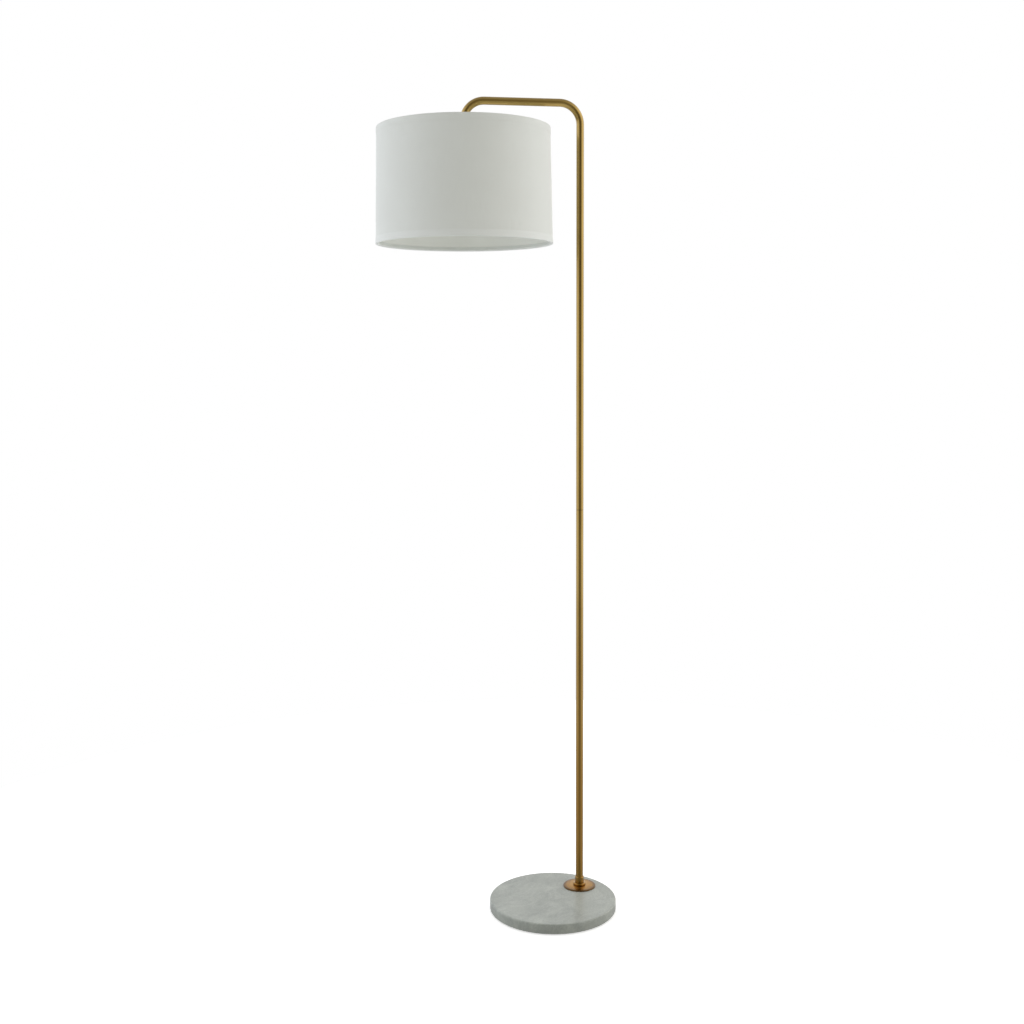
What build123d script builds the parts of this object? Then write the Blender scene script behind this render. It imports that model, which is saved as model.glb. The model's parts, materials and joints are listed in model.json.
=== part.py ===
from build123d import *

import os
from math import cos, radians, sin

# Arc floor lamp, in millimetres, +Z up.
# A round marble foot carries an off-centre brass-plated pole. The pole turns over into a short
# level arm with a drum shade hanging from its end, round a threaded lampholder and a bulb.
# The origin is the centre of the foot on the floor. The arm reaches along -X from the pole.

# ---- driving dimensions ------------------------------------------------------------------
LAMP_HEIGHT = 1600.0          # floor to the top of the arm
TUBE_OD = 15.0                # pole and arm are one size of tube
TUBE_WALL = 1.0
BEND_RADIUS = 40.0            # centreline radius of both bends
ARM_REACH = 227.0             # pole axis to shade axis

FOOT_RADIUS = 127.0
MARBLE_THICKNESS = 20.0
PAD_THICKNESS = 2.0
PAD_RADIUS = 122.0
POLE_OFFSET = 81.0            # foot centre to pole axis
POLE_BEARING = 36.0           # degrees from +X to the pole, about the foot centre

SHADE_TOP_RADIUS = 165.0      # outside of the fabric
SHADE_BOTTOM_RADIUS = 169.5
SHADE_TOP_Z = 1539.5
SHADE_HEIGHT = 215.0

JOINT_Z = 805.0               # joint between the straight pole and the bent upper tube
ARM_END_Z = 1526.0            # where the upper tube ends, inside the shade

STEM_RADIUS = 5.0             # M10 x 1 hollow all-thread, threads drawn plain
STEM_BORE = 4.0
LEAD_RADIUS = 2.75            # sheathed flex inside the pole
CORE_RADIUS = 1.1             # one insulated core of it
CORE_SPACING = 1.3            # each core's distance from the middle of the flex
RUNNING = 0.05                # radial clearance of a turning fit
GAP = 0.3                     # air between faces of parts that move past each other

# ---- worked-out places -------------------------------------------------------------------
TUBE_R = TUBE_OD / 2
TUBE_BORE = TUBE_R - TUBE_WALL
POLE_X = POLE_OFFSET * cos(radians(POLE_BEARING))
POLE_Y = POLE_OFFSET * sin(radians(POLE_BEARING))
SHADE_X = POLE_X - ARM_REACH
ARM_Z = LAMP_HEIGHT - TUBE_R
FOOT_TOP = PAD_THICKNESS + MARBLE_THICKNESS
SHADE_BOTTOM_Z = SHADE_TOP_Z - SHADE_HEIGHT

AT_FOOT = Rot(0, 0, POLE_BEARING)           # foot parts are drawn with the pole on +X, then turned
AT_POLE = Pos(POLE_X, POLE_Y, 0)
AT_HEAD = Pos(SHADE_X, POLE_Y, ARM_END_Z)   # head parts are drawn hanging down from the arm's end
AT_SHADE = Pos(SHADE_X, POLE_Y, 0)


# ---- shared shapes -----------------------------------------------------------------------
def turned(profile):
    """Solid of revolution about Z from a closed outline of (radius, height) points."""
    outline = Polyline(*[(r, 0, z) for r, z in profile], close=True)
    return revolve(make_face(outline), Axis.Z)


def sleeve(outer, inner, low, high, chamfer_by=0.0):
    """Straight tube about Z, with both outer edges broken by a chamfer."""
    c = chamfer_by
    outline = [(inner, low), (outer - c, low), (outer, low + c), (outer, high - c), (outer - c, high)]
    if c == 0:
        outline = [(inner, low), (outer, low), (outer, high)]
    return turned(outline + [(inner, high)])


def edged_disc(radius, low, high, edge):
    """Disc with both rims broken by a chamfer."""
    outline = [(0, low), (radius - edge, low), (radius, low + edge)]
    outline += [(radius, high - edge), (radius - edge, high), (0, high)]
    return turned(outline)


def rod(radius, low, high):
    """Plain round bar about Z."""
    return Pos(0, 0, (low + high) / 2) * Cylinder(radius, high - low)


def ringed(crest, root, low, high, pitch):
    """Outline points up a wall of parallel rounded rings, which stand for a screw thread."""
    points = []
    turns = int((high - low) / pitch)
    for n in range(turns):
        z = low + n * pitch
        points += [(root, z), (crest, z + pitch * 0.3), (crest, z + pitch * 0.7)]
    return points + [(root, low + turns * pitch)]


def along(path, radius, bore=0.0):
    """Round bar or tube swept along a path."""
    start = Plane(origin=path @ 0, z_dir=path % 0)
    section = Circle(radius)
    if bore:
        section -= Circle(bore)
    return sweep(start * section, path=path)


def union(parts):
    """Separate solids kept together in one node."""
    return Compound(children=[s for p in parts for s in p.solids()])


# ---- foot --------------------------------------------------------------------------------
RECESS_DEPTH = 12.5
RECESS_TOP = PAD_THICKNESS + RECESS_DEPTH
RECESS_WIDTH = 44.0
RECESS_INNER_X = 50.0         # far end of the recess's centreline, towards the foot's centre
GROOVE_WIDTH = 10.0
GLAND_Z = PAD_THICKNESS + GROOVE_WIDTH / 2
GLAND_INNER_X = FOOT_RADIUS - 12.0
GLAND_BORE = 3.6
STEM_LOW = 7.5
STEM_HIGH = 50.0
FLANGE_RADIUS = 33.0
FLANGE_TOP = FOOT_TOP + 3.0
COLLAR_TOP = FLANGE_TOP + 5.2
POLE_FOOT_Z = COLLAR_TOP + GAP


def base_pad():
    return edged_disc(PAD_RADIUS, 0, PAD_THICKNESS, 0.4)


def marble_base():
    disc = rod(FOOT_RADIUS, PAD_THICKNESS, FOOT_TOP)
    disc = fillet(disc.edges().sort_by(Axis.Z)[-1], 2.5)
    disc = fillet(disc.edges().sort_by(Axis.Z)[0], 1.2)
    middle = (POLE_OFFSET + RECESS_INNER_X) / 2
    length = POLE_OFFSET - RECESS_INNER_X + RECESS_WIDTH
    recess = extrude(SlotOverall(length, RECESS_WIDTH), RECESS_DEPTH)
    disc -= Pos(middle, 0, PAD_THICKNESS) * recess
    groove_length = FOOT_RADIUS - POLE_OFFSET
    groove = Box(groove_length, GROOVE_WIDTH, GROOVE_WIDTH, align=(Align.MIN, Align.CENTER, Align.MIN))
    disc -= Pos(POLE_OFFSET + 2, 0, PAD_THICKNESS) * groove
    disc -= Pos(POLE_OFFSET, 0, 0) * rod(STEM_RADIUS + 1, RECESS_TOP - 1, FOOT_TOP + 1)
    return AT_FOOT * disc


WASHER_LOW = RECESS_TOP - 1.5
STAR_LOW = WASHER_LOW - 0.8
NUT_LOW = STAR_LOW - 3.5


def base_washer():
    return AT_POLE * sleeve(18, STEM_RADIUS + 0.2, WASHER_LOW, RECESS_TOP, 0.2)


def star_washer():
    ring = sleeve(8.4, STEM_RADIUS + 0.2, STAR_LOW, WASHER_LOW)
    for n in range(12):
        notch = Box(2.4, 1.2, 4)
        ring -= Rot(0, 0, 30 * n) * Pos(8.6, 0, STAR_LOW) * notch
    return AT_POLE * ring


def base_nut():
    across_flats = 17.0
    blank = extrude(RegularPolygon(across_flats / 2, 6, major_radius=False), STAR_LOW - NUT_LOW)
    corners = edged_disc(9.6, 0, STAR_LOW - NUT_LOW, 0.7)
    nut = (blank & corners) - Cylinder(STEM_RADIUS, 20)
    return AT_POLE * Pos(0, 0, NUT_LOW) * nut


def threaded_stem():
    return AT_POLE * sleeve(STEM_RADIUS, STEM_BORE, STEM_LOW, STEM_HIGH, 0.4)


def base_flange():
    rim, shoulder = FLANGE_RADIUS, 15.0
    outline = [(STEM_RADIUS + 0.1, FOOT_TOP), (rim, FOOT_TOP), (rim, FOOT_TOP + 1.2)]
    outline += [(rim - 0.6, FOOT_TOP + 1.9), (rim - 2.0, FOOT_TOP + 2.3)]
    outline += [(shoulder, FLANGE_TOP), (STEM_RADIUS + 0.1, FLANGE_TOP)]
    return AT_POLE * turned(outline)


def lock_collar():
    body = sleeve(12.6, STEM_RADIUS, FLANGE_TOP, COLLAR_TOP)
    body = fillet(body.edges().filter_by(GeomType.CIRCLE).sort_by(SortBy.RADIUS)[-2:], 1.3)
    return AT_POLE * body


def cord_gland():
    """Bush in the edge of the foot that a mains flex would enter through."""
    outline = [(GLAND_BORE, 0), (5.0, 0), (5.0, 4), (4.4, 4), (4.4, 5), (5.0, 5), (5.0, 12.1)]
    outline += [(6.0, 12.1), (6.0, 13.2), (5.2, 14.0), (GLAND_BORE, 14.0)]
    bush = Rot(0, 90, 0) * turned(outline)
    return AT_FOOT * Pos(GLAND_INNER_X, 0, GLAND_Z) * bush


BLOCK_X = 38.0                # terminal block, in the recess, drawn with the pole on +X
BLOCK_LENGTH = 18.0
BLOCK_HEIGHT = 9.0
BLOCK_LOW = RECESS_TOP - BLOCK_HEIGHT
WIRE_Z = BLOCK_LOW + 4.4
TURN_Z = 4.6                  # height of the cores where they come out under the stem
SLEEVE_RADIUS = 1.9
POLE_PITCH = 4.0              # each terminal's distance from the middle of the block


def terminal_block():
    block = Box(BLOCK_LENGTH, 15, BLOCK_HEIGHT, align=(Align.MIN, Align.CENTER, Align.MIN))
    block = fillet(block.edges().filter_by(Axis.Z), 1.5)
    block = Pos(BLOCK_X, 0, BLOCK_LOW) * block
    for side in (-1, 1):
        bore = Rot(0, 90, 0) * Cylinder(SLEEVE_RADIUS, BLOCK_LENGTH + 2)
        block -= Pos(BLOCK_X + BLOCK_LENGTH / 2, side * POLE_PITCH, WIRE_Z) * bore
        for x in (5, BLOCK_LENGTH - 5):
            block -= Pos(BLOCK_X + x, side * POLE_PITCH, BLOCK_LOW) * Cylinder(1.5, 6)
    return AT_FOOT * block


def terminal_sleeves():
    sleeves = []
    for side in (-1, 1):
        tube = Rot(0, 90, 0) * sleeve(SLEEVE_RADIUS, 1.35, -8, 8)
        tube = Pos(BLOCK_X + BLOCK_LENGTH / 2, side * POLE_PITCH, WIRE_Z) * tube
        sleeves.append(AT_FOOT * tube)
    return union(sleeves)


def terminal_screws():
    screws = []
    for side in (-1, 1):
        for x in (5, BLOCK_LENGTH - 5):
            screw = rod(1.3, BLOCK_LOW + 0.5, WIRE_Z - SLEEVE_RADIUS)
            screw -= Pos(0, 0, BLOCK_LOW + 0.5) * Box(3, 0.5, 1.2)
            screws.append(AT_FOOT * Pos(BLOCK_X + x, side * POLE_PITCH, 0) * screw)
    return union(screws)


SHEATH_END_Z = 12.0           # where the sheath is stripped, inside the bottom of the stem
POLE_LEAD_LOW = STEM_HIGH


def base_cores():
    """The two stripped cores, out of the stem and into the terminals."""
    cores = []
    for side in (-1, 1):
        y_stem, y_block = side * CORE_SPACING, side * POLE_PITCH
        block_end = BLOCK_X + BLOCK_LENGTH
        route = [(POLE_OFFSET, y_stem, SHEATH_END_Z), (POLE_OFFSET, y_stem, TURN_Z)]
        route += [(block_end + 12, y_block, TURN_Z), (block_end + 5, y_block, WIRE_Z)]
        route += [(block_end - 4, y_block, WIRE_Z)]
        cores.append(AT_FOOT * along(FilletPolyline(*route, radius=[3.4, 6.0, 6.0]), CORE_RADIUS))
    return union(cores)


def base_lead():
    return AT_POLE * rod(LEAD_RADIUS, SHEATH_END_Z, POLE_LEAD_LOW - 0.2)


# ---- pole and arm ------------------------------------------------------------------------
BUSH_LENGTH = 25.0
EDGE_BREAK = 0.4              # chamfer at each tube end, which shows as a fine line at a joint
STUD_BORE = 3.6
STUD_THREAD = 18.0


def pole_ferrule():
    height = 12.6
    body = sleeve(9.1, TUBE_R, POLE_FOOT_Z, POLE_FOOT_Z + height)
    outer = body.edges().filter_by(GeomType.CIRCLE).sort_by(SortBy.RADIUS)[-2:]
    body = fillet(outer.sort_by(Axis.Z)[-1], 1.3)
    outer = body.edges().filter_by(GeomType.CIRCLE).sort_by(Axis.Z)[:2]
    body = chamfer(outer.sort_by(SortBy.RADIUS)[-1], 0.3)
    return AT_POLE * body


def foot_bush():
    """Threaded bush in the bottom of the pole, which turns on the stem."""
    return AT_POLE * sleeve(TUBE_BORE, STEM_RADIUS + RUNNING, POLE_FOOT_Z, POLE_FOOT_Z + BUSH_LENGTH, 0.3)


def pole_tube():
    return AT_POLE * sleeve(TUBE_R, TUBE_BORE, POLE_FOOT_Z, JOINT_Z, EDGE_BREAK)


def joint_socket():
    """Threaded bush in the top of the pole."""
    return AT_POLE * sleeve(TUBE_BORE, STEM_RADIUS, JOINT_Z - BUSH_LENGTH, JOINT_Z, 0.3)


def joint_stud():
    """Plug in the bottom of the upper tube, with a hollow threaded tail that enters the socket."""
    tail = sleeve(STEM_RADIUS, STUD_BORE, JOINT_Z - STUD_THREAD, JOINT_Z, 0.4)
    plug = sleeve(TUBE_BORE, STUD_BORE, JOINT_Z, JOINT_Z + BUSH_LENGTH)
    return AT_POLE * (tail + plug)


def arm_path(low_z, end_z):
    """Centreline up the pole, over along -X and down the middle of the shade."""
    corners = [(POLE_X, POLE_Y, low_z), (POLE_X, POLE_Y, ARM_Z)]
    corners += [(SHADE_X, POLE_Y, ARM_Z), (SHADE_X, POLE_Y, end_z)]
    return FilletPolyline(*corners, radius=BEND_RADIUS)


def arm_tube():
    """Upper tube: straight to the first bend, level, then down into the shade."""
    tube = along(arm_path(JOINT_Z, ARM_END_Z), TUBE_R, TUBE_BORE)
    rims = tube.edges().filter_by(GeomType.CIRCLE).filter_by(lambda e: abs(e.radius - TUBE_R) < 0.01)
    return chamfer([rims.sort_by(Axis.Z)[0]], EDGE_BREAK)


def pole_lead():
    """Sheathed flex up the pole, through the arm and into the lampholder's cap."""
    return along(arm_path(POLE_LEAD_LOW, ARM_END_Z - 8), LEAD_RADIUS)


# ---- lampholder, drawn down from the arm's end -------------------------------------------
CAP_HEIGHT = 18.0
SWITCH_Z = -28.0              # height of the switch spindle
SWITCH_TOP_Z = -22.0
SPINDLE_RADIUS = 2.4
BOSS_RADIUS = 6.0             # round boss that the spindle comes out through
BOSS_IN = 18.0                # its two ends, from the lampholder's axis
BOSS_OUT = 24.0
CUP_TOP_Z = -36.0             # top of the ceramic cup
SEAT_Z = -49.0                # underside of the shoulder that the shade's fitter ring bears on
HOLDER_END_Z = -72.0
BODY_RADIUS = 20.5
THREAD_RADIUS = 19.6          # crest of the thread for the shade ring
THREAD_ROOT = 18.9
HOLDER_BORE = 17.0
CUP_BORE = 14.9
CUP_FLOOR_Z = -42.0


def arm_end_bush():
    """Threaded bush in the hanging end of the upper tube."""
    return AT_HEAD * sleeve(TUBE_BORE, STEM_RADIUS, 0, 16, 0.3)


def holder_nipple():
    return AT_HEAD * sleeve(STEM_RADIUS, STUD_BORE, -6, 14, 0.4)


def holder_cap():
    """Domed top of the lampholder, screwed to the arm by the nipple."""
    outline = [(STEM_RADIUS, 0), (8.0, 0), (8.6, -0.6), (8.8, -3.0), (12.0, -3.8), (16.0, -5.8)]
    outline += [(19.0, -9.0), (20.3, -12.5), (BODY_RADIUS, -CAP_HEIGHT), (18.8, -CAP_HEIGHT)]
    outline += [(18.6, -12.8), (17.4, -9.8), (15.0, -7.4), (11.6, -6.0), (STEM_RADIUS, -6.0)]
    return AT_HEAD * turned(outline)


def holder_body():
    """Hollow body with a boss for the switch, a shoulder, and a thread for the shade ring."""
    outline = [(HOLDER_BORE, -14.5), (18.5, -14.5), (18.5, -CAP_HEIGHT), (BODY_RADIUS, -CAP_HEIGHT)]
    outline += [(BODY_RADIUS, -45.5), (24.0, -46.2), (24.0, SEAT_Z)]
    thread = ringed(THREAD_RADIUS, THREAD_ROOT, HOLDER_END_Z + 1, SEAT_Z, 2.0)
    outline += list(reversed(thread)) + [(THREAD_ROOT - 0.6, HOLDER_END_Z), (HOLDER_BORE, HOLDER_END_Z)]
    body = turned(outline)
    body += Pos(0, 0, SWITCH_Z) * Rot(90, 0, 0) * rod(BOSS_RADIUS, BOSS_IN, BOSS_OUT)
    body -= rod(HOLDER_BORE, -46, -14)
    body -= Pos(0, -20, SWITCH_Z) * Rot(90, 0, 0) * Cylinder(SPINDLE_RADIUS + GAP, 14)
    return AT_HEAD * body


def switch_body():
    body = edged_disc(HOLDER_BORE, CUP_TOP_Z, SWITCH_TOP_Z, 0.8)
    body -= Pos(0, -13, SWITCH_Z) * Rot(90, 0, 0) * Cylinder(SPINDLE_RADIUS + GAP, 14)
    return AT_HEAD * body


def head_cores():
    """The two cores from the end of the flex's sheath to the switch."""
    cores = []
    for side in (-1, 1):
        x = side * CORE_SPACING
        route = [(x, 0, -8), (x, 0, -13), (side * 6, 0, -17), (side * 6, 0, SWITCH_TOP_Z)]
        cores.append(AT_HEAD * along(FilletPolyline(*route, radius=3.0), CORE_RADIUS))
    return union(cores)


def holder_insulator():
    """Ceramic cup that holds the screw shell and the contacts."""
    outline = [(0, CUP_TOP_Z), (HOLDER_BORE, CUP_TOP_Z), (HOLDER_BORE, -66), (CUP_BORE, -66)]
    return AT_HEAD * turned(outline + [(CUP_BORE, CUP_FLOOR_Z), (0, CUP_FLOOR_Z)])


def screw_shell():
    """Threaded metal liner that the bulb's cap screws into."""
    low, floor = -67.5, CUP_FLOOR_Z
    inner = ringed(14.2, 13.6, low, -46, 3.6)
    outline = [(CUP_BORE, floor), (CUP_BORE, low)] + inner
    return AT_HEAD * turned(outline + [(13.6, floor - 1), (8.0, floor - 1), (8.0, floor)])


def centre_contact():
    tongue = Pos(0, 0, CUP_FLOOR_Z - 0.4) * Box(13, 5, 0.8)
    button = rod(2.4, CUP_FLOOR_Z - 2.6, CUP_FLOOR_Z - 0.4)
    return AT_HEAD * (tongue + button)


# ---- switch knob -------------------------------------------------------------------------
KNOB_IN = 24.6                # distances from the lampholder's axis, along -Y
KNOB_OUT = 37.0
SPINDLE_IN = 7.0
SPINDLE_OUT = 33.0
KNOB_FLUTES = 16


def switch_spindle():
    return AT_HEAD * Pos(0, 0, SWITCH_Z) * Rot(90, 0, 0) * rod(SPINDLE_RADIUS, SPINDLE_IN, SPINDLE_OUT)


def switch_knob():
    """Ribbed turn knob, bored for the spindle."""
    length = KNOB_OUT - KNOB_IN
    socket = SPINDLE_OUT - KNOB_IN
    outline = [(SPINDLE_RADIUS, 0), (5.6, 0), (6.4, 0.8), (6.4, length - 1.6), (4.8, length), (0, length)]
    outline += [(0, socket), (SPINDLE_RADIUS, socket)]
    knob = turned(outline)
    for n in range(KNOB_FLUTES):
        flute = Pos(6.9, 0, length / 2 + 2.5) * Cylinder(0.9, length)
        knob -= Rot(0, 0, 360 / KNOB_FLUTES * n) * flute
    return AT_HEAD * Pos(0, -KNOB_IN, SWITCH_Z) * Rot(90, 0, 0) * knob


# ---- shade ring nut ----------------------------------------------------------------------
FITTER_TOP_Z = SEAT_Z - GAP
FITTER_THICKNESS = 1.6
RING_TOP_Z = FITTER_TOP_Z - FITTER_THICKNESS - GAP


def shade_ring_nut():
    """Finger nut that clamps the fitter ring against the holder's shoulder."""
    top = RING_TOP_Z
    bore = THREAD_RADIUS + GAP
    outline = [(bore, top), (27.5, top), (27.5, top - 2.2), (24.6, top - 3.0), (24.2, top - 9.0)]
    outline += [(23.4, top - 9.6), (bore, top - 9.6)]
    nut = turned(outline)
    for n in range(24):
        groove = Pos(25.2, 0, top - 6.6) * Cylinder(1.3, 7.2)
        nut -= Rot(0, 0, 15 * n) * groove
    return AT_HEAD * nut


# ---- bulb --------------------------------------------------------------------------------
BULB_TIP_Z = -45.0
CAP_LOW_Z = -71.0
BULB_LENGTH = 110.0
GLOBE_RADIUS = 30.0
GLOBE_WALL = 1.4
HOUSING_LOW_Z = -104.0
HOUSING_RADIUS = 26.6


def bulb_contact():
    outline = [(0, BULB_TIP_Z), (2.6, BULB_TIP_Z), (4.4, BULB_TIP_Z - 1.4), (4.4, BULB_TIP_Z - 2.2)]
    return AT_HEAD * turned(outline + [(0, BULB_TIP_Z - 2.2)])


def bulb_insulator():
    low = BULB_TIP_Z - 2.2
    outline = [(0, low), (5.2, low), (10.8, low - 3.2), (10.8, low - 4.4), (0, low - 4.4)]
    return AT_HEAD * turned(outline)


def bulb_cap():
    """Rolled screw cap, 26 mm across."""
    top = BULB_TIP_Z - 6.6
    thread = ringed(13.1, 12.2, CAP_LOW_Z + 1.0, top - 0.6, 3.6)
    outline = [(0, CAP_LOW_Z), (12.6, CAP_LOW_Z)] + thread + [(10.8, top), (0, top)]
    return AT_HEAD * turned(outline)


def bulb_housing():
    neck = (13.4, 0, CAP_LOW_Z)
    rim = (HOUSING_RADIUS, 0, HOUSING_LOW_Z)
    outer = Spline(neck, (18.2, 0, -86), rim)
    rest = Polyline(rim, (0, 0, HOUSING_LOW_Z), (0, 0, CAP_LOW_Z), neck)
    return AT_HEAD * revolve(make_face(outer + rest), Axis.Z)


def globe_curve(inset):
    """Half outline of the globe, from its rim on the housing down to the bottom."""
    bottom = BULB_TIP_Z - BULB_LENGTH
    rim = (HOUSING_RADIUS - inset, 0, HOUSING_LOW_Z)
    widest = (GLOBE_RADIUS - inset, 0, bottom + GLOBE_RADIUS + 1)
    return Spline(rim, widest, (0, 0, bottom + inset), tangents=[(0.45, 0, -1), (-1, 0, 0)])


def bulb_globe():
    """Thin diffuser, open where it meets the housing."""
    outer, inner = globe_curve(0), globe_curve(GLOBE_WALL)
    wall = outer + Line(outer @ 1, inner @ 1) + inner + Line(inner @ 0, outer @ 0)
    return AT_HEAD * revolve(make_face(wall), Axis.Z)


# ---- shade -------------------------------------------------------------------------------
COVER_THICKNESS = 0.7
LINER_THICKNESS = 0.5
GLUE_LINE = 0.05
WIRE_RADIUS = 1.6
HEM_THICKNESS = 0.6
HEM_OUTSIDE = 12.0            # how far the folded edge reaches down the outside
HEM_INSIDE = 8.0
FITTER_ARM_RADIUS = 1.75
ARMS = 3
ARM_TURN = 90.0               # bearing of the first rod
SLIT_WIDTH = 4.2
TAPER = (SHADE_BOTTOM_RADIUS - SHADE_TOP_RADIUS) / SHADE_HEIGHT


def shade_radius(z):
    """Outside radius of the fabric at a height."""
    return SHADE_TOP_RADIUS + (SHADE_TOP_Z - z) * TAPER


def cone_shell(inset, thickness, low, high):
    """Wall that follows the shade's taper, inset from the fabric's outside."""
    outline = [(shade_radius(low) - inset, low), (shade_radius(high) - inset, high)]
    outline += [(shade_radius(high) - inset - thickness, high), (shade_radius(low) - inset - thickness, low)]
    return turned(outline)


LINER_INSET = COVER_THICKNESS + GLUE_LINE
WIRE_INSET = LINER_INSET + LINER_THICKNESS + GLUE_LINE + WIRE_RADIUS


def shade_cover():
    return AT_SHADE * cone_shell(0, COVER_THICKNESS, SHADE_BOTTOM_Z, SHADE_TOP_Z)


def shade_liner():
    return AT_SHADE * cone_shell(LINER_INSET, LINER_THICKNESS, SHADE_BOTTOM_Z, SHADE_TOP_Z)


def rim_wire(z):
    wire = Torus(shade_radius(z) - WIRE_INSET, WIRE_RADIUS)
    return AT_SHADE * Pos(0, 0, z) * wire


TOP_WIRE_Z = SHADE_TOP_Z - WIRE_RADIUS
BOTTOM_WIRE_Z = SHADE_BOTTOM_Z + WIRE_RADIUS


def hem(edge_z, into):
    """Tape folded over an edge of the shade and its wire; into is -1 to reach down, 1 to reach up."""
    t = HEM_THICKNESS
    lip = edge_z - into * (t + GLUE_LINE)
    inner = edge_z - into * GLUE_LINE
    out_z = edge_z + into * HEM_OUTSIDE
    in_z = edge_z + into * HEM_INSIDE
    out_r = GLUE_LINE + t
    wire_in = WIRE_INSET + WIRE_RADIUS + GLUE_LINE
    outline = [(shade_radius(out_z) + out_r, out_z), (shade_radius(lip) + out_r, lip)]
    outline += [(shade_radius(lip) - wire_in - t, lip), (shade_radius(in_z) - wire_in - t, in_z)]
    outline += [(shade_radius(in_z) - wire_in, in_z), (shade_radius(inner) - wire_in, inner)]
    outline += [(shade_radius(inner) + GLUE_LINE, inner), (shade_radius(out_z) + GLUE_LINE, out_z)]
    return AT_SHADE * turned(outline)


def top_hem():
    """The upper hem, slit on its inner side for the three rods."""
    tape = hem(SHADE_TOP_Z, -1)
    for n in range(ARMS):
        slit = Pos(shade_radius(TOP_WIRE_Z) - WIRE_INSET - WIRE_RADIUS, 0, TOP_WIRE_Z - 5)
        tape -= AT_SHADE * Rot(0, 0, ARM_TURN + 360 / ARMS * n) * slit * Box(4, SLIT_WIDTH, 13)
    return tape


FITTER_RING_LOW = ARM_END_Z + FITTER_TOP_Z - FITTER_THICKNESS
FITTER_RING_OUTER = 29.0


def fitter_ring():
    bore = THREAD_RADIUS + GAP + 0.1
    high = FITTER_RING_LOW + FITTER_THICKNESS
    return AT_SHADE * sleeve(FITTER_RING_OUTER, bore, FITTER_RING_LOW, high, 0.3)


def fitter_arms():
    """Three rods from the fitter ring out to the top wire, welded where they touch it."""
    start_z = FITTER_RING_LOW + FITTER_THICKNESS + FITTER_ARM_RADIUS
    end_r = shade_radius(TOP_WIRE_Z) - WIRE_INSET - WIRE_RADIUS
    end_z = TOP_WIRE_Z - 1.0
    knee_r = end_r - 14
    rods = []
    for n in range(ARMS):
        route = [(26.5, 0, start_z), (40, 0, start_z), (knee_r, 0, end_z), (end_r, 0, end_z)]
        rod_n = along(FilletPolyline(*route, radius=10), FITTER_ARM_RADIUS)
        rods.append(AT_SHADE * Rot(0, 0, ARM_TURN + 360 / ARMS * n) * rod_n)
    return union(rods)


# ---- the list of pieces ------------------------------------------------------------------
PIECES = {
    "base_pad": base_pad,
    "marble_base": marble_base,
    "base_washer": base_washer,
    "star_washer": star_washer,
    "base_nut": base_nut,
    "threaded_stem": threaded_stem,
    "base_flange": base_flange,
    "lock_collar": lock_collar,
    "cord_gland": cord_gland,
    "terminal_block": terminal_block,
    "terminal_sleeves": terminal_sleeves,
    "terminal_screws": terminal_screws,
    "base_cores": base_cores,
    "base_lead": base_lead,
    "pole_ferrule": pole_ferrule,
    "foot_bush": foot_bush,
    "pole_tube": pole_tube,
    "joint_socket": joint_socket,
    "joint_stud": joint_stud,
    "arm_tube": arm_tube,
    "pole_lead": pole_lead,
    "arm_end_bush": arm_end_bush,
    "holder_nipple": holder_nipple,
    "holder_cap": holder_cap,
    "holder_body": holder_body,
    "switch_body": switch_body,
    "head_cores": head_cores,
    "holder_insulator": holder_insulator,
    "screw_shell": screw_shell,
    "centre_contact": centre_contact,
    "switch_spindle": switch_spindle,
    "switch_knob": switch_knob,
    "shade_ring_nut": shade_ring_nut,
    "bulb_contact": bulb_contact,
    "bulb_insulator": bulb_insulator,
    "bulb_cap": bulb_cap,
    "bulb_housing": bulb_housing,
    "bulb_globe": bulb_globe,
    "fitter_ring": fitter_ring,
    "fitter_arms": fitter_arms,
    "shade_top_wire": lambda: rim_wire(TOP_WIRE_Z),
    "shade_bottom_wire": lambda: rim_wire(BOTTOM_WIRE_Z),
    "shade_liner": shade_liner,
    "shade_cover": shade_cover,
    "shade_top_hem": top_hem,
    "shade_bottom_hem": lambda: hem(SHADE_BOTTOM_Z, 1),
}

os.makedirs("parts", exist_ok=True)
for node, build_piece in PIECES.items():
    export_step(build_piece(), f"parts/{node}.step")
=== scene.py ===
import json
from math import cos, pi, radians, sin
import bpy
import numpy as np
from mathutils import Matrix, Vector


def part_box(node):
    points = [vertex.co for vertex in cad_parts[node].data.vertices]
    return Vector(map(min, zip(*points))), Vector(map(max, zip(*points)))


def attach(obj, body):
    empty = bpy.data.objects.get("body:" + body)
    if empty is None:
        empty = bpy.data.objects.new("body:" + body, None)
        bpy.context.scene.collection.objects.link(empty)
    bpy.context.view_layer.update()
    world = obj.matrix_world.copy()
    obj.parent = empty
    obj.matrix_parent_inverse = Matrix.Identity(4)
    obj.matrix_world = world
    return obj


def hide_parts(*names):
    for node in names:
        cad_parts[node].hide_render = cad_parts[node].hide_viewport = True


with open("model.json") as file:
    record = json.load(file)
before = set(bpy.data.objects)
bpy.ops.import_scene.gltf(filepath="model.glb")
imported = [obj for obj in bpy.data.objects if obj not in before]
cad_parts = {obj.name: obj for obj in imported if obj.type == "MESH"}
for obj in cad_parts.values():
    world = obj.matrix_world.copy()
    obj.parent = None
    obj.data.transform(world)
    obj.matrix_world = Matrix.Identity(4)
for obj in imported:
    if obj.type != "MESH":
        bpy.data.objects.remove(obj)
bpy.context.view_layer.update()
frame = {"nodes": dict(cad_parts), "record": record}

# Arc floor lamp: marble foot, aged brass pole and arm, hanging drum shade in plain-woven linen.
# Metres, +Z up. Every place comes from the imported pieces.

onEdge = 1e-5           # how near a point lies to an edge to count as on it
middling = (0.3, 0.7)   # most of a noise's values lie between these


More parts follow.
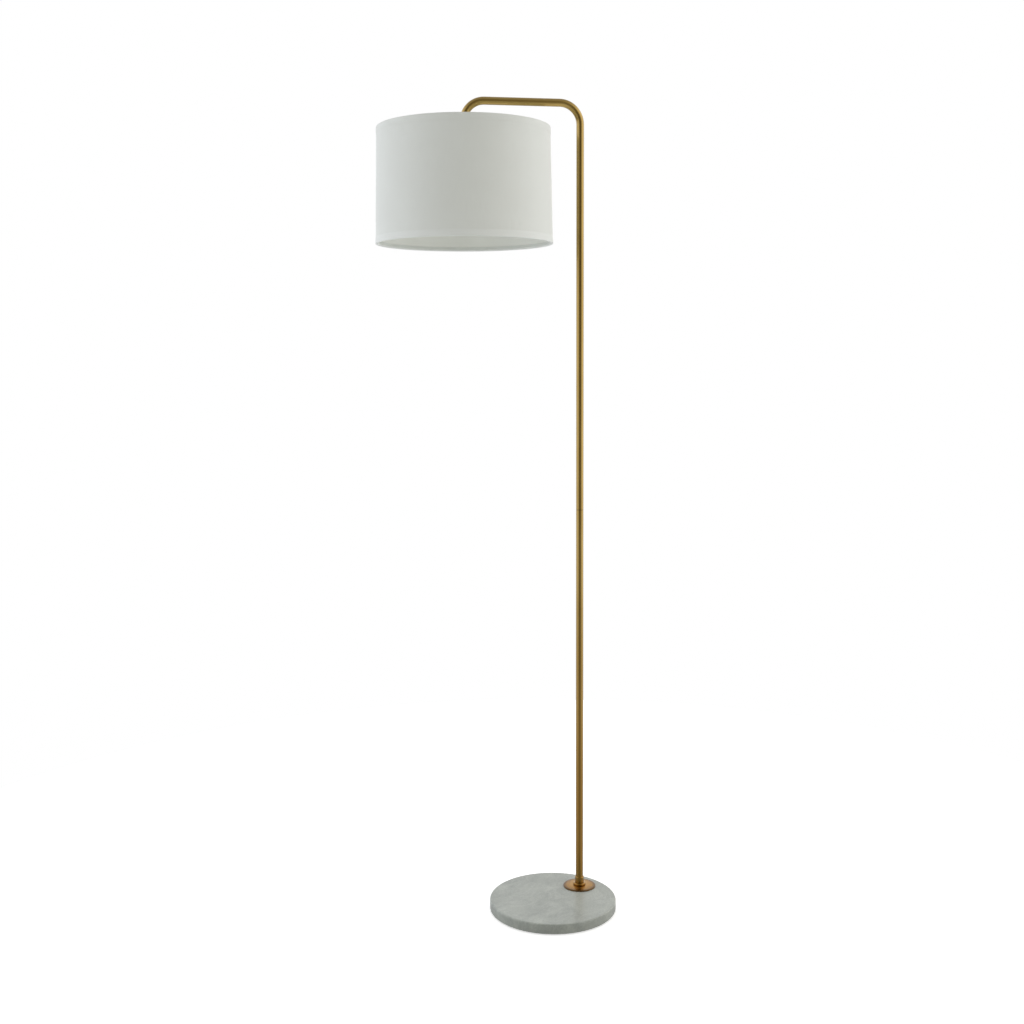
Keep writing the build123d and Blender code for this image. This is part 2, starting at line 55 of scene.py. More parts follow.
def nodePoints(name):
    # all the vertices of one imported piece, as rows of x, y, z
    mesh = frame["nodes"][name].data
    flat = np.empty(len(mesh.vertices) * 3)
    mesh.vertices.foreach_get("co", flat)
    return flat.reshape(-1, 3)


def boxMiddle(name):
    # half way between the two corners of a piece's box
    low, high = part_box(name)
    return [(a + b) / 2 for a, b in zip(low, high)]


poleX, poleY = boxMiddle("pole_tube")[:2]
shadeX, shadeY = boxMiddle("shade_cover")[:2]
shadeLowZ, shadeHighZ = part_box("shade_cover")[0][2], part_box("shade_cover")[1][2]
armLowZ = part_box("arm_tube")[0][2]                  # where the two lengths of tube meet
tubeRadius = (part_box("pole_tube")[1][0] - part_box("pole_tube")[0][0]) / 2
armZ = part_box("arm_tube")[1][2] - tubeRadius        # the middle line of the level arm

coverPoints = nodePoints("shade_cover")
coverRadii = np.hypot(coverPoints[:, 0] - shadeX, coverPoints[:, 1] - shadeY)
topRadius = coverRadii[coverPoints[:, 2] > shadeHighZ - onEdge].max()
bottomRadius = coverRadii[coverPoints[:, 2] < shadeLowZ + onEdge].max()
print("places: pole", round(poleX, 4), round(poleY, 4),
      "shade radii", round(topRadius, 4), round(bottomRadius, 4))


# shader nodes, a few short ways to write them

def add(tree, kind, sockets=None, **settings):
    # one node; a socket's value is a number, a colour or another node's output
    new = tree.nodes.new("ShaderNode" + kind)
    for key, value in settings.items():
        setattr(new, key, value)
    for key, value in (sockets or {}).items():
        if isinstance(value, bpy.types.NodeSocket):
            tree.links.new(value, new.inputs[key])
        else:
            new.inputs[key].default_value = value
    return new


def newFinish(name):
    # an empty material with its main shader
    material = bpy.data.materials.new(name)
    material.use_nodes = True
    tree = material.node_tree
    tree.nodes.clear()
    shader = add(tree, "BsdfPrincipled")
    add(tree, "OutputMaterial", {"Surface": shader.outputs["BSDF"]})
    return material, tree, shader


def placed(tree, size=(1, 1, 1), centre=(0, 0, 0), turn=(0, 0, 0)):
    # object coordinates measured from centre and divided by size, so 1 is one pattern's length
    coords = add(tree, "TexCoord").outputs["Object"]
    mapping = add(tree, "Mapping", {"Vector": coords, "Location": centre, "Rotation": turn, "Scale": size},
                  vector_type="TEXTURE")
    return mapping.outputs["Vector"]


def cloudy(tree, coords, detail=3.0, rough=0.5, twist=0.0):
    # soft noise about 0.5, with one lump for each 1 of coords
    sockets = {"Vector": coords, "Scale": 1.0, "Detail": detail, "Roughness": rough, "Distortion": twist}
    return add(tree, "TexNoise", sockets).outputs["Fac"]


def sums(tree, operation, first, second=0.0):
    # one sum on two numbers: ADD, MULTIPLY, MAXIMUM and so on
    return add(tree, "Math", {0: first, 1: second}, operation=operation).outputs[0]


def mixed(tree, first, firstShare, second, secondShare):
    # first * its share + second * its share
    return sums(tree, "ADD", sums(tree, "MULTIPLY", first, firstShare),
                sums(tree, "MULTIPLY", second, secondShare))


def apart(tree, value, level):
    # how far value is from level, either way
    return sums(tree, "ABSOLUTE", sums(tree, "SUBTRACT", value, level))


def span(tree, value, low, high, toLow=0.0, toHigh=1.0, smooth=False):
    # value's place between low and high, carried to toLow..toHigh and held there outside them
    sockets = {"Value": value, "From Min": low, "From Max": high, "To Min": toLow, "To Max": toHigh}
    kind = "SMOOTHSTEP" if smooth else "LINEAR"
    return add(tree, "MapRange", sockets, interpolation_type=kind).outputs["Result"]


def eased(tree, value, band):
    # 0 where value is the band's first number, rising smoothly to its third where it is the second
    start, full, most = band
    return span(tree, value, start, full, 0.0, most, smooth=True)


def blend(tree, factor, first, second, mode="MIX"):
    # colours: first at factor 0, second at 1
    new = add(tree, "Mix", data_type="RGBA", blend_type=mode)
    for socket, value in zip([new.inputs[0], new.inputs[6], new.inputs[7]], [factor, first, second]):
        if isinstance(value, bpy.types.NodeSocket):
            tree.links.new(value, socket)
        else:
            socket.default_value = value if socket.type == "VALUE" else (*value[:3], 1)
    return new.outputs[2]


def choose(tree, factor, first, second):
    # numbers: first at factor 0, second at 1
    return add(tree, "Mix", {0: factor, 2: first, 3: second}).outputs[0]


def ramp(tree, factor, stops):
    # colour by place, from (place, colour) pairs in order
    new = add(tree, "ValToRGB", {"Fac": factor})
    elements = new.color_ramp.elements
    elements[0].position, elements[1].position = stops[0][0], stops[-1][0]
    for position, colour in stops[1:-1]:
        elements.new(position)
    for element, (position, colour) in zip(elements, stops):
        element.color = (*colour, 1)
    return new.outputs["Color"]


def relief(tree, shader, height, distance, strength):
    # bumps distance deep, in metres, from height 0 to 1
    sockets = {"Height": height, "Distance": distance, "Strength": strength}
    tree.links.new(add(tree, "Bump", sockets).outputs["Normal"], shader.inputs["Normal"])


def feed(tree, shader, colour, roughness):
    # a worked-out colour and roughness into the main shader
    tree.links.new(colour, shader.inputs["Base Color"])
    tree.links.new(roughness, shader.inputs["Roughness"])


def fromAxis(tree, x, y):
    # distance from an upright line, in metres
    coords = placed(tree, centre=(x, y, 0))
    flat = add(tree, "VectorMath", {0: coords, 1: (1, 1, 0)}, operation="MULTIPLY").outputs[0]
    return add(tree, "VectorMath", {0: flat}, operation="LENGTH").outputs["Value"]


def heightOf(tree):
    # height over the floor, in metres
    return add(tree, "SeparateXYZ", {0: placed(tree)}).outputs["Z"]


# finishes; a band is (where it starts, where it is full, how strong it is there)

# the level arm's lighter colour and its share are a painted highlight, standing in for light from above
brassLook = {"light": (0.355, 0.243, 0.068), "armLitColour": (0.46, 0.315, 0.085), "deep": (0.262, 0.166, 0.032),
             "warm": (0.325, 0.158, 0.016), "stain": (0.12, 0.068, 0.022), "smoothest": 0.26, "roughest": 0.37,
             "streakWidth": 0.0008, "streakLength": 0.06, "patch": (0.03, 0.03, 0.11),
             "streaky": 0.45, "patchy": 0.75, "tones": (0.35, 0.85), "streaksDull": 0.5, "spotsDull": 0.6,
             "dulls": (0.1, 0.6), "levelFrom": 0.035, "levelFull": 0.008, "warmth": (0.75, 0.03, 0.7),
             "armLitShare": 0.55, "relief": (0.00002, 0.3),
             "spot": (0.004, 0.004, 0.006), "spots": (0.66, 0.78, 0.55), "joint": (0.0016, 0.0002, 0.35),
             "coat": 0.6, "coatRoughness": 0.16}


def agedBrass():
    # lacquered tube: drawn streaks run along it, upright below the bends and level above them
    look = brassLook
    material, tree, shader = newFinish("agedBrass")
    thin, drawn = look["streakWidth"], look["streakLength"]
    upright = cloudy(tree, placed(tree, size=(thin, thin, drawn)))
    level = cloudy(tree, placed(tree, size=(drawn, thin, thin)))
    height = heightOf(tree)
    over = span(tree, height, armZ - look["levelFrom"], armZ - look["levelFull"], smooth=True)
    streaks = choose(tree, over, upright, level)
    patches = cloudy(tree, placed(tree, size=look["patch"]), detail=4.0, twist=0.6)
    tone = mixed(tree, streaks, look["streaky"], patches, look["patchy"])
    colour = blend(tree, span(tree, tone, *look["tones"]), look["deep"], look["light"])
    colour = blend(tree, eased(tree, height, look["warmth"]), colour, look["warm"])     # painted reflection: warmer near the foot, the warm low surroundings that the lower pole reflects
    armLitShare = sums(tree, "MULTIPLY", over, look["armLitShare"])                               # painted highlight: lighter on top, standing in for light from above
    colour = blend(tree, armLitShare, colour, look["armLitColour"])
    spots = cloudy(tree, placed(tree, size=look["spot"]), detail=5.0, rough=0.7)
    spots = eased(tree, spots, look["spots"])
    ring = eased(tree, apart(tree, height, armLowZ), look["joint"])     # dirt in the joint's fine line
    colour = blend(tree, sums(tree, "MAXIMUM", spots, ring), colour, look["stain"])
    dull = mixed(tree, streaks, look["streaksDull"], spots, look["spotsDull"])
    feed(tree, shader, colour, span(tree, dull, *look["dulls"], look["smoothest"], look["roughest"]))
    relief(tree, shader, streaks, *look["relief"])
    shader.inputs["Metallic"].default_value = 1.0
    shader.inputs["Coat Weight"].default_value = look["coat"]
    shader.inputs["Coat Roughness"].default_value = look["coatRoughness"]
    return material


flangeLook = {"face": (0.265, 0.130, 0.024), "rim": (0.10, 0.052, 0.016), "bright": (0.42, 0.222, 0.040),
              "smoothest": 0.24, "roughest": 0.38, "ringsPerMetre": 3200.0, "ringTone": 0.25,
              "relief": (0.00002, 0.5), "patch": 0.012, "patches": (0.35, 0.7), "aroundCollar": (0.0245, 0.0165, 0.7),
              "darkRim": (0.0245, 0.0315, 0.85), "collarShade": (0.0142, 0.0125, 0.5),
              "coat": 0.15, "coatRoughness": 0.15}


def bronzedBrass():
    # turned plate: fine rings about the pole, lighter round the collar, dark at the rim and
    # with painted shade against the collar; the bands are distances from the pole's axis
    look = flangeLook
    material, tree, shader = newFinish("bronzedBrass")
    away = fromAxis(tree, poleX, poleY)
    outward = sums(tree, "MULTIPLY", away, look["ringsPerMetre"])
    rings = cloudy(tree, add(tree, "CombineXYZ", {0: outward}).outputs[0], detail=2.0)
    patches = cloudy(tree, placed(tree, size=(look["patch"],) * 3), detail=4.0, twist=0.8)
    face = blend(tree, span(tree, patches, *look["patches"]), look["face"], look["bright"])
    face = blend(tree, span(tree, rings, *middling, 0.0, look["ringTone"]), face, look["rim"])
    # lighter round the collar
    face = blend(tree, eased(tree, away, look["aroundCollar"]), face, look["bright"])
    # painted shade against the collar, and darker towards the rim
    dark = sums(tree, "MAXIMUM", eased(tree, away, look["darkRim"]), eased(tree, away, look["collarShade"]))
    colour = blend(tree, dark, face, look["rim"])
    feed(tree, shader, colour, span(tree, patches, *middling, look["smoothest"], look["roughest"]))
    relief(tree, shader, rings, *look["relief"])
    shader.inputs["Metallic"].default_value = 1.0
    shader.inputs["Coat Weight"].default_value = look["coat"]
    shader.inputs["Coat Roughness"].default_value = look["coatRoughness"]
    return material


marbleLook = {"pale": (0.458, 0.488, 0.436), "grey": (0.30, 0.323, 0.295), "vein": (0.58, 0.605, 0.565),
              "dark": (0.25, 0.27, 0.245), "gloss": 0.32, "pitted": 0.42, "specular": 0.38,
              "cloud": (0.055, 0.04, 0.05), "cloudTurn": 0.6, "cloudy": 0.65, "grain": 0.0035, "grainy": 0.4,
              "tones": (0.36, 0.70), "winding": (0.09, 0.05, 0.07), "windingTurn": 0.9, "veinLevel": 0.5,
              "veins": (0.022, 0.0, 0.22), "crossing": (0.06, 0.10, 0.06), "crossingCentre": (0.3, 0.1, 0),
              "crossingTurn": -0.5, "hairLevel": 0.47, "hairs": (0.008, 0.0, 0.28), "crystal": 0.0016,
              "crystals": (0.2, 0.9), "sparkle": 0.12, "pits": (0.30, 0.36), "relief": (0.00004, 0.6)}


def polishedMarble():
    # cloudy grey stone, fine crystal grain, thin pale veins and a few dark hair lines;
    # a vein lies where its noise crosses one level
    look = marbleLook
    material, tree, shader = newFinish("polishedMarble")
    clouds = cloudy(tree, placed(tree, size=look["cloud"], turn=(0, 0, look["cloudTurn"])),
                    detail=5.0, rough=0.55, twist=0.9)
    grain = cloudy(tree, placed(tree, size=(look["grain"],) * 3), rough=0.65)
    crystal = add(tree, "TexVoronoi", {"Vector": placed(tree, size=(look["crystal"],) * 3), "Scale": 1.0})
    body = mixed(tree, clouds, look["cloudy"], grain, look["grainy"])
    colour = blend(tree, span(tree, body, *look["tones"]), look["grey"], look["pale"])
    winding = cloudy(tree, placed(tree, size=look["winding"], turn=(0, 0, look["windingTurn"])),
                     detail=6.0, rough=0.55, twist=1.4)
    veins = eased(tree, apart(tree, winding, look["veinLevel"]), look["veins"])
    colour = blend(tree, veins, colour, look["vein"])
    crossing = placed(tree, size=look["crossing"], centre=look["crossingCentre"],
                      turn=(0, 0, look["crossingTurn"]))
    second = cloudy(tree, crossing, detail=6.0, rough=0.6, twist=1.1)
    hairs = eased(tree, apart(tree, second, look["hairLevel"]), look["hairs"])
    colour = blend(tree, hairs, colour, look["dark"])
    speck = span(tree, crystal.outputs["Distance"], *look["crystals"], 0.0, look["sparkle"])
    colour = blend(tree, speck, colour, look["vein"])
    pits = span(tree, grain, *look["pits"], 1.0, 0.0, smooth=True)
    feed(tree, shader, colour, span(tree, pits, 0.0, 1.0, look["gloss"], look["pitted"]))
    relief(tree, shader, sums(tree, "MULTIPLY", pits, -1.0), *look["relief"])
    shader.inputs["Specular IOR Level"].default_value = look["specular"]
    return material


linenLook = {"thread": 0.0009, "warp": (0.76, 0.79, 0.75), "weft": (0.70, 0.73, 0.69),
             "slub": (0.60, 0.615, 0.57), "threadShade": (0.48, 0.50, 0.47), "doubled": (0.82, 0.855, 0.84),
             "waver": 1.6, "waversPerMetre": 60, "yarnsPerMetre": 900, "warpSlubs": 28, "weftSlubs": 24,
             "crossed": 0.25, "yarnTone": 0.35, "slubs": (0.60, 0.74, 1.0), "slubTone": 0.5, "slubRise": 0.5,
             "threadShadeBand": (0.30, 0.05, 0.8), "haze": (0.09, 0.09, 0.06), "hazy": 0.12,
             "hem": (0.0132, 0.0110, 0.28), "smoothest": 0.44, "roughest": 0.58, "relief": (0.00012, 0.8),
             "specular": 0.9, "sheen": 0.15, "sheenRoughness": 0.5}


def wovenLinen():
    # plain weave on the piece's own map in metres: height = warp or weft, whichever crosses over,
    # |sin(pi u / thread)| and |sin(pi v / thread)| picked by the sign of sin(pi u)sin(pi v)
    look = linenLook
    material, tree, shader = newFinish("wovenLinen")
    uv = add(tree, "UVMap", uv_map="weave").outputs["UV"]

    def stretched(scale, detail=2.0):
        return cloudy(tree, add(tree, "Mapping", {"Vector": uv, "Scale": scale}).outputs[0], detail=detail)

    waver = sums(tree, "SUBTRACT", stretched((look["waversPerMetre"],) * 3), 0.5)
    waver = sums(tree, "MULTIPLY", waver, look["waver"])
    counts = add(tree, "Mapping", {"Vector": uv, "Scale": (1 / look["thread"],) * 3}).outputs[0]
    parts = add(tree, "SeparateXYZ", {0: counts})
    across = sums(tree, "ADD", parts.outputs["X"], waver)
    upward = sums(tree, "ADD", parts.outputs["Y"], waver)
    waveU = sums(tree, "SINE", sums(tree, "MULTIPLY", across, pi))
    waveV = sums(tree, "SINE", sums(tree, "MULTIPLY", upward, pi))
    over = span(tree, sums(tree, "MULTIPLY", waveU, waveV), -look["crossed"], look["crossed"], smooth=True)
    height = choose(tree, over, sums(tree, "ABSOLUTE", waveU), sums(tree, "ABSOLUTE", waveV))
    alongWarp = stretched((look["yarnsPerMetre"], look["warpSlubs"], 1))
    alongWeft = stretched((look["weftSlubs"], look["yarnsPerMetre"], 1))
    yarn = choose(tree, over, alongWarp, alongWeft)
    slubs = eased(tree, yarn, look["slubs"])
    colour = blend(tree, over, look["warp"], look["weft"])
    colour = blend(tree, span(tree, yarn, *middling, 0.0, look["yarnTone"]), colour, look["weft"])
    colour = blend(tree, sums(tree, "MULTIPLY", slubs, look["slubTone"]), colour, look["slub"])
    # painted shade in the gaps between the threads
    colour = blend(tree, eased(tree, height, look["threadShadeBand"]), colour, look["threadShade"])
    haze = cloudy(tree, placed(tree, size=look["haze"]))
    colour = blend(tree, span(tree, haze, *middling, 0.0, look["hazy"]), colour, look["slub"])
    hemFrom, hemFull, hemMost = look["hem"]                 # two layers of cloth at the lower edge
    hem = eased(tree, heightOf(tree), (shadeLowZ + hemFrom, shadeLowZ + hemFull, hemMost))
    colour = blend(tree, hem, colour, look["doubled"])
    feed(tree, shader, colour, span(tree, yarn, *middling, look["smoothest"], look["roughest"]))
    threads = sums(tree, "ADD", height, sums(tree, "MULTIPLY", slubs, look["slubRise"]))
    relief(tree, shader, threads, *look["relief"])
    shader.inputs["Specular IOR Level"].default_value = look["specular"]
    shader.inputs["Sheen Weight"].default_value = look["sheen"]
    shader.inputs["Sheen Roughness"].default_value = look["sheenRoughness"]
    return material


linerLook = {"dark": (0.80, 0.82, 0.77), "light": (0.86, 0.88, 0.83), "line": (0.05, 0.05, 0.0012),
             "haze": (0.06, 0.06, 0.05), "lined": 0.3, "hazy": 0.6, "tones": (0.3, 0.65),
             "smoothest": 0.48, "roughest": 0.62, "relief": (0.00003, 0.4)}


def shadeLiner():
    # white film under the linen: faint calender lines round it, and slow clouds in its tone
    look = linerLook
    material, tree, shader = newFinish("shadeLiner")
    lines = cloudy(tree, placed(tree, size=look["line"], centre=(shadeX, shadeY, 0)), detail=2.0)
    haze = cloudy(tree, placed(tree, size=look["haze"]))
    tone = mixed(tree, lines, look["lined"], haze, look["hazy"])
    colour = blend(tree, span(tree, tone, *look["tones"]), look["dark"], look["light"])
    feed(tree, shader, colour, span(tree, haze, *middling, look["smoothest"], look["roughest"]))
    relief(tree, shader, lines, *look["relief"])
    return material


def grained(name, dark, light, size, rough, depth, detail=4.0, metallic=0.0, coat=0.0):
    # one material family: two tones of the same stuff, cloudy at size, with its own fine relief
    material, tree, shader = newFinish(name)
    soft = cloudy(tree, placed(tree, size=(size * 14,) * 3))
    fine = cloudy(tree, placed(tree, size=(size,) * 3), detail=detail, rough=0.6)
    tone = mixed(tree, soft, 0.6, fine, 0.4)
    feed(tree, shader, blend(tree, span(tree, tone, 0.36, 0.64), dark, light),
         span(tree, fine, *middling, rough[0], rough[1]))
    relief(tree, shader, fine, depth, 0.6)
    shader.inputs["Metallic"].default_value = metallic
    shader.inputs["Coat Weight"].default_value = coat
    return material


coreLook = {"brown": (0.16, 0.055, 0.02), "blue": (0.02, 0.10, 0.35), "soot": (0.02, 0.02, 0.02),
            "grain": 0.0008, "sooty": 0.2, "smoothest": 0.35, "roughest": 0.5, "relief": (0.00002, 0.4),
            "headAbove": 0.5}


def coreInsulation():
    # one core brown and one blue, told apart by their side of the flex, in the foot and in the head
    look = coreLook
    material, tree, shader = newFinish("coreInsulation")
    headSide = add(tree, "SeparateXYZ", {0: placed(tree, centre=(shadeX, shadeY, 0))}).outputs["X"]
    bearing = np.arctan2(poleY, poleX)
    footSide = add(tree, "SeparateXYZ", {0: placed(tree, turn=(0, 0, bearing))}).outputs["Y"]
    inHead = sums(tree, "GREATER_THAN", heightOf(tree), look["headAbove"])
    side = choose(tree, inHead, footSide, headSide)
    colour = blend(tree, sums(tree, "GREATER_THAN", side, 0.0), look["brown"], look["blue"])
    fine = cloudy(tree, placed(tree, size=(look["grain"],) * 3))
    colour = blend(tree, span(tree, fine, *middling, 0.0, look["sooty"]), colour, look["soot"])
    feed(tree, shader, colour, span(tree, fine, *middling, look["smoothest"], look["roughest"]))
    relief(tree, shader, fine, *look["relief"])
    return material


# plain finishes: two tones, the grain's size, the span of roughness, and how deep the grain is
plainLooks = {
    "zinc_steel": {"name": "zincSteel", "dark": (0.42, 0.43, 0.44), "light": (0.60, 0.61, 0.62),
                   "size": 0.0006, "rough": (0.26, 0.42), "depth": 2e-5, "metallic": 1.0},
    "brass_bare": {"name": "bareBrass", "dark": (0.55, 0.38, 0.12), "light": (0.74, 0.56, 0.24),
                   "size": 0.0007, "rough": (0.22, 0.38), "depth": 2e-5, "metallic": 1.0},
    "white_wire": {"name": "powderCoatWhite", "dark": (0.72, 0.72, 0.70), "light": (0.80, 0.80, 0.78),
                   "size": 0.0005, "rough": (0.32, 0.46), "depth": 3e-5},
    "felt": {"name": "paleFelt", "dark": (0.34, 0.34, 0.32), "light": (0.55, 0.55, 0.53),
             "size": 0.0004, "rough": (0.9, 0.98), "depth": 1.5e-4, "detail": 6.0},
    "phenolic": {"name": "blackPhenolic", "dark": (0.012, 0.011, 0.010), "light": (0.030, 0.026, 0.023),
                 "size": 0.0009, "rough": (0.16, 0.26), "depth": 8e-6, "coat": 0.2},
    "black_plastic": {"name": "blackPlastic", "dark": (0.015, 0.015, 0.015), "light": (0.035, 0.035, 0.035),
                      "size": 0.0004, "rough": (0.4, 0.55), "depth": 2e-5},
    "white_plastic": {"name": "whitePlastic", "dark": (0.70, 0.70, 0.68), "light": (0.78, 0.78, 0.76),
                      "size": 0.0005, "rough": (0.30, 0.42), "depth": 1e-5},
    "flex": {"name": "flexSheath", "dark": (0.02, 0.02, 0.02), "light": (0.05, 0.05, 0.048),
             "size": 0.0006, "rough": (0.45, 0.6), "depth": 2e-5},
    "porcelain": {"name": "porcelain", "dark": (0.70, 0.68, 0.62), "light": (0.80, 0.78, 0.73),
                  "size": 0.0012, "rough": (0.08, 0.16), "depth": 1e-5, "coat": 0.4},
    "nickel": {"name": "nickelPlate", "dark": (0.50, 0.49, 0.46), "light": (0.66, 0.65, 0.62),
               "size": 0.0006, "rough": (0.12, 0.24), "depth": 1e-5, "metallic": 1.0},
    "diffuser": {"name": "frostedDiffuser", "dark": (0.78, 0.78, 0.75), "light": (0.84, 0.84, 0.81),
                 "size": 0.0006, "rough": (0.42, 0.55), "depth": 1e-5},
}

finishes = {"marble": polishedMarble(), "aged_brass": agedBrass(), "bronzed_brass": bronzedBrass(),
            "linen": wovenLinen(), "liner": shadeLiner(), "core": coreInsulation()}
for plainName, plainLook in plainLooks.items():
    finishes[plainName] = grained(**plainLook)

slotOf = {row["node"]: row["material_slot"] for row in frame["record"]["subparts"]}
for nodeName, nodeObject in frame["nodes"].items():
    for place in nodeObject.material_slots:
        place.material = finishes[slotOf[nodeName]]
print("finishes:", len(finishes), "on", len(frame["nodes"]), "packed pieces")


# new pieces

def finishMesh(name, flat, faces, faceUv, slotName, sharp):
    # one piece from its points and faces: smooth but for edges turned more than sharp degrees
    mesh = bpy.data.meshes.new(name)
    mesh.from_pydata(flat.tolist(), [], faces)
    mesh.polygons.foreach_set("use_smooth", np.ones(len(faces), dtype=bool))
    if faceUv is not None:
        layer = mesh.uv_layers.new(name="weave")
        layer.data.foreach_set("uv", faceUv.ravel())
    mesh.set_sharp_from_angle(angle=radians(sharp))
    mesh.validate()
    piece = bpy.data.objects.new(name, mesh)
    bpy.context.scene.collection.objects.link(piece)
    mesh.materials.append(finishes[slotName])
    print(name + ":", len(flat), "points,", len(faces), "faces")
    return piece


def closedMesh(name, points, uv, slotName):
    # points[i, j]: i goes round the upright axis, j round a closed outline, and both wrap.
    # The faces are turned outwards by the sign of the volume that they enclose.
    around, outline = points.shape[:2]
    i, j = np.meshgrid(np.arange(around), np.arange(outline), indexing="ij")
    corners = [(i, j), (i + 1, j), (i + 1, j + 1), (i, j + 1)]
    faces = np.stack([(a % around) * outline + b % outline for a, b in corners], axis=-1).reshape(-1, 4)
    faceUv = np.stack([uv[a, b] for a, b in corners], axis=2).reshape(-1, 4, 2)
    flat = points.reshape(-1, 3)
    one, two, three, four = (flat[faces[:, k]] for k in range(4))
    volume = np.einsum("ij,ij->", one, np.cross(two, three)) + np.einsum("ij,ij->", one, np.cross(three, four))
    if volume < 0:
        faces, faceUv = faces[:, ::-1], faceUv[:, ::-1]
    return finishMesh(name, flat, faces.tolist(), faceUv, slotName, 40)


def coneRadius(z):
    # radius of the linen's outer face = top radius + (top - z) * taper
    taper = (bottomRadius - topRadius) / (shadeHighZ - shadeLowZ)
    return topRadius + (shadeHighZ - z) * taper


def aroundShade(r, turn, z):
    # points at radius r and bearing turn about the shade's axis, at height z
    return np.stack([shadeX + r * np.cos(turn), shadeY + r * np.sin(turn), z + 0 * turn], axis=-1)


def bearingFrom(angle, centre):
    # angle - centre, brought to -pi..pi
    return (angle - centre + pi) % (2 * pi) - pi


def wander(angle, z, seed, turns, rise, amount):
    # amount * mean of cos(k * angle + rise * z + phase) over a few whole numbers k, brought to 0..amount
    rng = np.random.default_rng(seed)
    total = np.zeros(np.broadcast(angle, z).shape)
    for k in turns:
        total = total + np.cos(k * angle + rng.uniform(-rise, rise) * z + rng.uniform(0, 2 * pi))
    return amount * (0.5 + 0.5 * total / len(turns))


def step(angle, centre, halfWidth, soft):
    # 1 inside halfWidth of centre, 0 outside, eased over soft; all in radians
    t = np.clip((halfWidth - np.abs(bearingFrom(angle, centre))) / soft + 0.5, 0, 1)
    return t * t * (3 - 2 * t)


coverLook = {"thickness": 0.0007, "unevenness": 0.00030, "lumps": (3, 5, 8, 13, 21, 34), "lean": 30, "seed": 11,
             "seamBearing": 58, "seamWidth": 0.011, "seamRise": 0.00045, "seamEdge": 0.0012,
             "around": 720, "rows": 54}


def linenLift(angle, z):
    # how far the linen stands off the plain cone: slow unevenness, and the lapped seam at the back
    uneven = wander(angle, z, coverLook["seed"], coverLook["lumps"], coverLook["lean"], coverLook["unevenness"])
    half = coverLook["seamWidth"] / 2 / topRadius
    seam = step(angle, radians(coverLook["seamBearing"]), half, coverLook["seamEdge"] / topRadius)
    return uneven, coverLook["seamRise"] * seam


def linenCover():
    # outline up the outer face and down the inner: r = coneRadius(z) + lift, and r - thickness inside
    angle = np.linspace(0, 2 * pi, coverLook["around"], endpoint=False)
    outerZ = np.linspace(shadeLowZ, shadeHighZ, coverLook["rows"])
    innerZ = np.linspace(shadeHighZ, shadeLowZ, coverLook["rows"] // 3)
    z = np.concatenate([outerZ, innerZ])[None, :]
    inside = np.concatenate([np.zeros(len(outerZ)), np.ones(len(innerZ))])[None, :]
    turn = angle[:, None]
    uneven, seam = linenLift(turn, z)
    r = coneRadius(z) + uneven + seam * (1 - inside) - coverLook["thickness"] * inside
    width = np.linspace(0, 2 * pi, coverLook["around"] + 1) * (topRadius + bottomRadius) / 2
    rows = np.append(z[0] - shadeLowZ, 0.0)
    uv = np.stack(np.meshgrid(width, rows, indexing="ij"), axis=-1)
    return closedMesh("linenCover", aroundShade(r, turn, z), uv, "linen")


# steps: points up the outside, over the corner, across to the wire, round it and down the inside
tapeLook = {"thickness": 0.0006, "glue": 0.00005, "outside": 0.012, "inside": 0.008, "feather": 0.0004,
            "gather": 0.00012, "gathers": (97, 131, 163, 211), "seed": 5, "easing": 0.12,
            "slit": 0.0021, "slitLip": 0.002, "slitEdge": 1.03, "slitStep": 5,
            "joinBearing": 64, "joinWidth": 0.009, "joinRise": 0.0004, "joinEdge": 0.001,
            "around": 720, "steps": (13, 5, 4, 9, 8), "outerSteps": 4, "innerSteps": 2, "overEdge": 0.006}


def tapeLine(distance, wireInset, wireRadius):
    # the line at a distance round the edge: up the linen, over its corner, flat to the wire's crown,
    # round the wire by a quarter turn and, by a smooth lean of the wire's width, back to the liner
    # it stands against; (offset outwards, height over the edge)
    up, over, across, rounds, down = tapeLook["steps"]
    d, corner, crown = distance, np.linspace(0, pi / 2, over), np.linspace(pi / 2, pi, rounds)
    drop = np.linspace(0, 1, down + 1)[1:]
    lean = 2 * wireRadius * drop ** 2 * (3 - 2 * drop)
    outside = [np.full(up, d), np.linspace(-tapeLook["outside"], 0, up)]
    overCorner = [d * np.cos(corner), d * np.sin(corner)]
    flat = [np.linspace(0, -wireInset, across + 2)[1:-1], np.full(across, d)]
    overWire = [-wireInset + (wireRadius + d) * np.cos(crown), -wireRadius + (wireRadius + d) * np.sin(crown)]
    inside = [lean - wireInset - wireRadius - d, -wireRadius - (tapeLook["inside"] - wireRadius) * drop]
    return [np.concatenate(parts) for parts in zip(outside, overCorner, flat, overWire, inside)]


